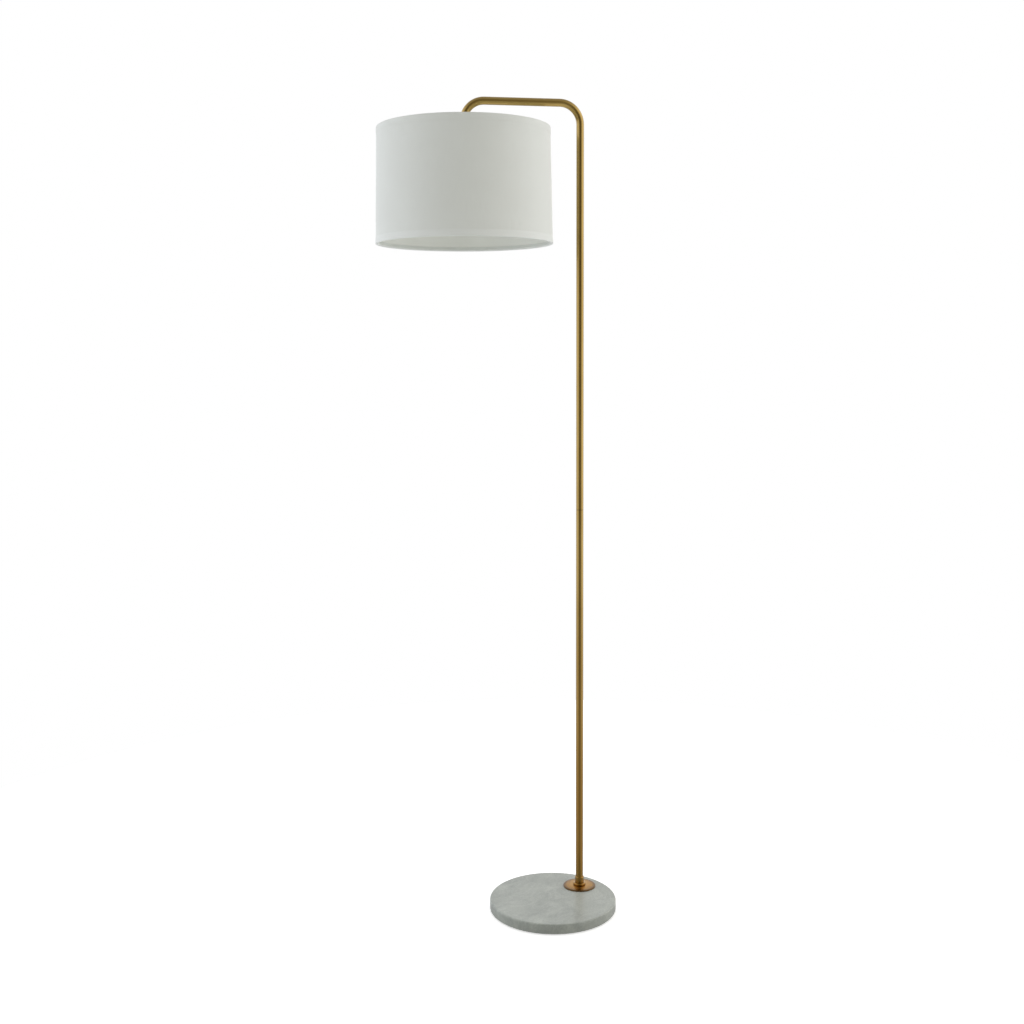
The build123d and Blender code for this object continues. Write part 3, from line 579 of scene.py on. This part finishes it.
def edgeTape(name, edgeZ, up, wireNode, slitBearings):
    # folded tape: the closed outline is the line at glue distance and back along the line at
    # glue + thickness, carried round the shade; the inner flap is cut back where a rod comes through
    low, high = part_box(wireNode)
    wireRadius = (high[2] - low[2]) / 2
    wireInset = coneRadius(edgeZ) - ((high[0] - low[0]) / 2 - wireRadius)
    angle = np.linspace(0, 2 * pi, tapeLook["around"], endpoint=False)
    half = tapeLook["slit"] / (topRadius - wireInset)
    wide = half * tapeLook["slitEdge"]
    for bearing in slitBearings:
        away = bearingFrom(angle, bearing)
        angle = angle[np.abs(np.abs(away) - half) > tapeLook["slitLip"]]
        angle = np.append(angle, bearing + np.array([-wide, -half, half, wide]))
    angle = np.sort(angle % (2 * pi))
    turn = angle[:, None]
    inLine = tapeLine(tapeLook["glue"], wireInset, wireRadius)
    outLine = tapeLine(tapeLook["glue"] + tapeLook["thickness"], wireInset, wireRadius)
    last = len(inLine[0]) - 1
    share = np.linspace(0, 1, last + 1)         # place along the line, outer hem to inner hem
    crownStep = sum(tapeLook["steps"][:3])      # the wire's crown, and where a slit ends on it
    start, cut = crownStep / last, (crownStep + tapeLook["slitStep"]) / last
    slit = np.zeros_like(turn)
    for bearing in slitBearings:
        slit = np.maximum(slit, (np.abs(bearingFrom(turn, bearing)) <= half + onEdge) * 1.0)
    end = 1 - slit * (1 - cut)
    shares = np.where(share > start, start + (share - start) * (end - start) / (1 - start), share + 0 * turn)
    onLinen = np.clip((start - shares) / tapeLook["easing"], 0, 1)
    gather = wander(turn, 0 * turn, tapeLook["seed"], tapeLook["gathers"], 0, tapeLook["gather"])
    gather = gather * (1 - onLinen)
    join = tapeLook["joinRise"] * step(turn, radians(tapeLook["joinBearing"]),
                                       tapeLook["joinWidth"] / 2 / topRadius, tapeLook["joinEdge"] / topRadius)
    outerThin = np.clip(1 - shares * last / tapeLook["outerSteps"], 0, 1)       # both edges are feathered
    innerThin = np.clip(1 - (1 - shares) * last / tapeLook["innerSteps"], 0, 1)
    halves = []
    for line, sign in ((inLine, 0), (outLine, 1)):
        z = edgeZ + up * np.interp(shares, share, line[1])
        offset = np.interp(shares, share, line[0]) + sign * tapeLook["feather"] * (innerThin - outerThin)
        uneven, seam = linenLift(turn, z)
        lift = (uneven + seam) * onLinen - (0.5 * gather + join * sign) * (1 - onLinen) + join * sign * onLinen
        halves.append(aroundShade(coneRadius(z) + offset + lift, turn, z))
    points = np.concatenate([halves[0], halves[1][:, ::-1]], axis=1)
    width = np.append(angle, angle[0] + 2 * pi) * topRadius
    run = share * (tapeLook["outside"] + tapeLook["inside"] + tapeLook["overEdge"])
    rows = np.concatenate([run, run[::-1], run[:1]])
    uv = np.stack(np.meshgrid(width, rows, indexing="ij"), axis=-1)
    return closedMesh(name, points, uv, "linen")


rodBearings = [radians(90 + 120 * n) for n in range(3)]
cover = linenCover()
topTape = edgeTape("topTape", shadeHighZ, 1, "shade_top_wire", rodBearings)
bottomTape = edgeTape("bottomTape", shadeLowZ, -1, "shade_bottom_wire", [])
for piece, node in ((cover, "shade_cover"), (topTape, "shade_top_hem"), (bottomTape, "shade_bottom_hem")):
    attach(piece, "shade")
    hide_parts(node)


padLook = {"around": 240, "rings": 14, "firstRing": 0.08, "roundEdge": 0.0005, "edgeSteps": 5,
           "edgeWander": 0.0003, "edgeLumps": (7, 16, 29, 53, 88), "edgeSeed": 21, "edgeFade": 8,
           "hollows": 0.00008, "hollowLumps": (2, 3, 5, 9), "hollowSeed": 4, "lean": 220}


def feltPad():
    # die-cut disc: r = radius - wander at the rim, two faces with slow hollows, and rounded edges.
    # Each face closes on a point in the middle.
    low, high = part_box("base_pad")
    radius = (high[0] - low[0]) / 2
    thick = high[2] - low[2]
    angle = np.linspace(0, 2 * pi, padLook["around"], endpoint=False)[:, None]
    share = np.linspace(padLook["firstRing"], 1, padLook["rings"])
    e = padLook["roundEdge"]
    quarter = np.linspace(0, pi / 2, padLook["edgeSteps"])
    lowR = np.concatenate([share * (radius - e), radius - e + e * np.sin(quarter[1:])])
    lowZ = np.concatenate([np.zeros(len(share)), e - e * np.cos(quarter[1:])])
    profileR = np.concatenate([lowR, lowR[::-1]])[None, :]
    profileZ = np.concatenate([lowZ, thick - lowZ[::-1]])[None, :]
    rim = wander(angle, 0 * angle, padLook["edgeSeed"], padLook["edgeLumps"], 0, padLook["edgeWander"])
    r = profileR - rim * (profileR / radius) ** padLook["edgeFade"]
    hollow = wander(angle, profileR, padLook["hollowSeed"], padLook["hollowLumps"], padLook["lean"],
                    padLook["hollows"])
    z = profileZ + hollow * np.where(profileZ < thick / 2, 1, -1)
    ring = np.stack([r * np.cos(angle), r * np.sin(angle), z], axis=-1)
    rows, columns = ring.shape[:2]
    i, j = np.meshgrid(np.arange(rows), np.arange(columns - 1), indexing="ij")
    here, after = i * columns + j, (i + 1) % rows * columns + j
    sides = np.stack([here, after, after + 1, here + 1], axis=-1).reshape(-1, 4)
    middles = [[0, 0, padLook["hollows"]], [0, 0, thick - padLook["hollows"]]]
    flat = np.concatenate([ring.reshape(-1, 3), middles])
    here, after = here[:, 0], after[:, 0]
    lowFan = np.stack([after, here, np.full(rows, rows * columns)], axis=-1)
    outer = columns - 1
    highFan = np.stack([here + outer, after + outer, np.full(rows, rows * columns + 1)], axis=-1)
    return finishMesh("feltPad", flat, sides.tolist() + lowFan.tolist() + highFan.tolist(), None, "felt", 60)


pad = feltPad()
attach(pad, "foot")
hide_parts("base_pad")


# studio; the camera stands left of the pole and back from it, across and along its own view

cameraLook = {"lens": 45.10, "sensor": 36.0, "azimuth": 9.45, "left": 0.1354, "back": 2.545, "height": 1.1038,
              "pitch": 6.786, "roll": -0.0052}
turnAngle = radians(cameraLook["azimuth"])
rightward = np.array([cos(turnAngle), -sin(turnAngle)])
ahead = np.array([sin(turnAngle), cos(turnAngle)])
cameraXy = np.array([poleX, poleY]) - rightward * cameraLook["left"] - ahead * cameraLook["back"]
cameraData = bpy.data.cameras.new("camera")
cameraData.lens = cameraLook["lens"]
cameraData.sensor_width = cameraLook["sensor"]
camera = bpy.data.objects.new("camera", cameraData)
bpy.context.scene.collection.objects.link(camera)
camera.location = (*cameraXy, cameraLook["height"])
camera.rotation_euler = (pi / 2 - radians(cameraLook["pitch"]), 0, -turnAngle)
camera.rotation_euler.rotate_axis("Z", cameraLook["roll"])
bpy.context.scene.camera = camera
bpy.context.scene.view_settings.view_transform = "Standard"

floorLook = {"radius": 1.6, "sides": 96, "colour": (0.93, 0.93, 0.92), "roughness": 0.9, "glow": 0.50,
             "shaded": 0.23, "shadedTo": 0.12, "open": 0.88, "openFrom": 0.42}


def studioFloor():
    # a flat disc, r = radius, closed to a point in the middle
    sides = floorLook["sides"]
    angle = np.linspace(0, 2 * pi, sides, endpoint=False)
    rim = np.stack([np.cos(angle), np.sin(angle), 0 * angle], axis=-1) * floorLook["radius"]
    i = np.arange(sides)
    faces = np.stack([0 * i, i + 1, (i + 1) % sides + 1], axis=-1)
    mesh = bpy.data.meshes.new("studioFloor")
    mesh.from_pydata([(0, 0, 0)] + rim.tolist(), [], faces.tolist())
    floor = bpy.data.objects.new("studioFloor", mesh)
    bpy.context.scene.collection.objects.link(floor)
    material, tree, shader = newFinish("studioFloor")
    shader.inputs["Base Color"].default_value = (*floorLook["colour"], 1)
    shader.inputs["Roughness"].default_value = floorLook["roughness"]
    shader.inputs["Specular IOR Level"].default_value = 0.0
    shader.inputs["Emission Color"].default_value = (1, 1, 1, 1)
    shader.inputs["Emission Strength"].default_value = floorLook["glow"]
    # the light that it gives back: dim in the foot's own shade, full farther out
    given = span(tree, fromAxis(tree, 0, 0), floorLook["shadedTo"], floorLook["openFrom"],
                 floorLook["shaded"], floorLook["open"], smooth=True)
    bounce = add(tree, "Emission", {"Strength": given})
    isCamera = add(tree, "LightPath").outputs["Is Camera Ray"]
    both = add(tree, "MixShader", {0: isCamera, 1: bounce.outputs[0], 2: shader.outputs["BSDF"]})
    clear = add(tree, "BsdfTransparent")        # seen from below, the floor isn't in the way
    fromBelow = add(tree, "NewGeometry").outputs["Backfacing"]
    either = add(tree, "MixShader", {0: fromBelow, 1: both.outputs[0], 2: clear.outputs[0]})
    output = next(node for node in tree.nodes if node.type == "OUTPUT_MATERIAL")
    tree.links.new(either.outputs[0], output.inputs["Surface"])
    mesh.materials.append(material)
    floor.visible_glossy = False


# brightness of the room by bearing, from behind the lamp (0) through its left, front (0.5) and right,
# with a tint by bearing, and the values straight up, low down all round, and straight down;
# the bands are on the sine of the angle over level
roomLook = {"ring": [(0.0, 1.0), (0.15, 1.15), (0.26, 1.45), (0.32, 1.45), (0.375, 1.15), (0.42, 0.46),
                     (0.45, 0.18), (0.48, 0.10), (0.52, 0.09), (0.55, 0.18), (0.585, 0.38), (0.63, 1.02),
                     (0.68, 1.6), (0.74, 1.7), (0.85, 1.25), (1.0, 1.0)],
            "tints": [(0.36, (0.985, 1, 1.05)), (0.5, (1.1, 0.97, 0.6)), (0.64, (1.02, 1, 0.985))],
            "above": 0.46, "aboveBand": (0.45, 0.90, 1.0), "low": 0.46, "lowBand": (-0.10, -0.40, 1.0),
            "under": 0.9, "underBand": (-0.50, -0.85, 1.0), "strength": 1.11}


def studioLight():
    # the room as the lamp sees it; the camera sees plain white instead
    world = bpy.data.worlds.new("studioLight")
    world.use_nodes = True
    bpy.context.scene.world = world
    tree = world.node_tree
    tree.nodes.clear()
    towards = add(tree, "TexCoord").outputs["Object"]
    upward = add(tree, "SeparateXYZ", {0: towards}).outputs["Z"]
    frontward = add(tree, "VectorMath", {0: towards, 1: (*-ahead, 0)}, operation="DOT_PRODUCT")
    sideward = add(tree, "VectorMath", {0: towards, 1: (*rightward, 0)}, operation="DOT_PRODUCT")
    bearing = sums(tree, "ARCTAN2", sideward.outputs["Value"], frontward.outputs["Value"])
    place = span(tree, bearing, -pi, pi)
    most = max(value for _, value in roomLook["ring"])
    light = ramp(tree, place, [(at, (value / most,) * 3) for at, value in roomLook["ring"]])
    light = blend(tree, 1.0, light, ramp(tree, place, roomLook["tints"]), "MULTIPLY")
    light = blend(tree, 1.0, light, (most, most, most), "MULTIPLY")
    for part in ("above", "low", "under"):
        light = blend(tree, eased(tree, upward, roomLook[part + "Band"]), light, (roomLook[part],) * 3)
    lit = add(tree, "Background", {"Color": light, "Strength": roomLook["strength"]})
    seen = add(tree, "Background", {"Color": (1, 1, 1, 1), "Strength": 1.0})
    isCamera = add(tree, "LightPath").outputs["Is Camera Ray"]
    both = add(tree, "MixShader", {0: isCamera, 1: lit.outputs[0], 2: seen.outputs[0]})
    add(tree, "OutputWorld", {"Surface": both.outputs[0]})


studioFloor()
studioLight()
print("studio ready")
